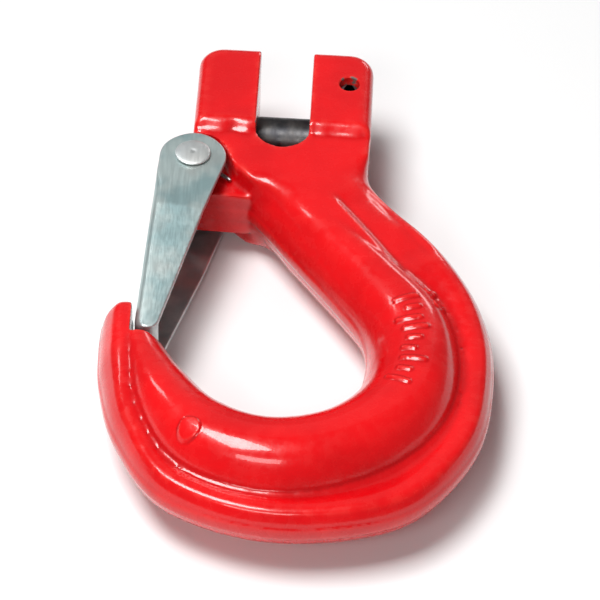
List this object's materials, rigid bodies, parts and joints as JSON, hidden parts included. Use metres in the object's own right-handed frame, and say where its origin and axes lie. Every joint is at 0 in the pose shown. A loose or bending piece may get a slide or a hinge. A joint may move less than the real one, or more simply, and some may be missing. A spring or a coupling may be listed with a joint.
{
  "type": "clevis sling hook with latch",
  "caption": "Forged clevis sling hook, painted red, with a load pin and a spring-loaded sheet latch across its throat.",
  "frame": {"origin": "centre of the load pin, in the middle of the clevis slot", "axes": "+Y along the load line from the bowl to the chain, +X towards the back of the bowl, +Z across the thickness"},
  "size_m": [0.082, 0.1329, 0.0248],
  "materials": {
    "body_paint": "gloss",
    "load_pin_steel": "satin",
    "spring_pin_steel": "satin",
    "latch_zinc": "zinc plated",
    "rivet_zinc": "zinc plated",
    "spring_wire": "satin"
  },
  "bodies": {
    "hook": {"hook_body": "body_paint", "load_pin_spring_pin": "spring_pin_steel", "latch_rivet": "rivet_zinc"},
    "load_pin": {"load_pin": "load_pin_steel"},
    "latch": {"latch": "latch_zinc", "latch_spring": "spring_wire"}
  },
  "joints": [
    {"name": "latch_pivot", "type": "hinge", "parent": "hook", "child": "latch", "pos_m": [-0.0188, -0.0185, 0], "axis": [0, 0, 1], "range_deg": [0, 35], "stiffness_Nm_per_rad": 0.03, "springref_deg": -28.65, "deforming": ["latch_spring"]},
    {"name": "load_pin_turn", "type": "hinge", "parent": "hook", "child": "load_pin", "pos_m": [0, 0, 0], "axis": [1, 0, 0], "continuous": true}
  ]
}
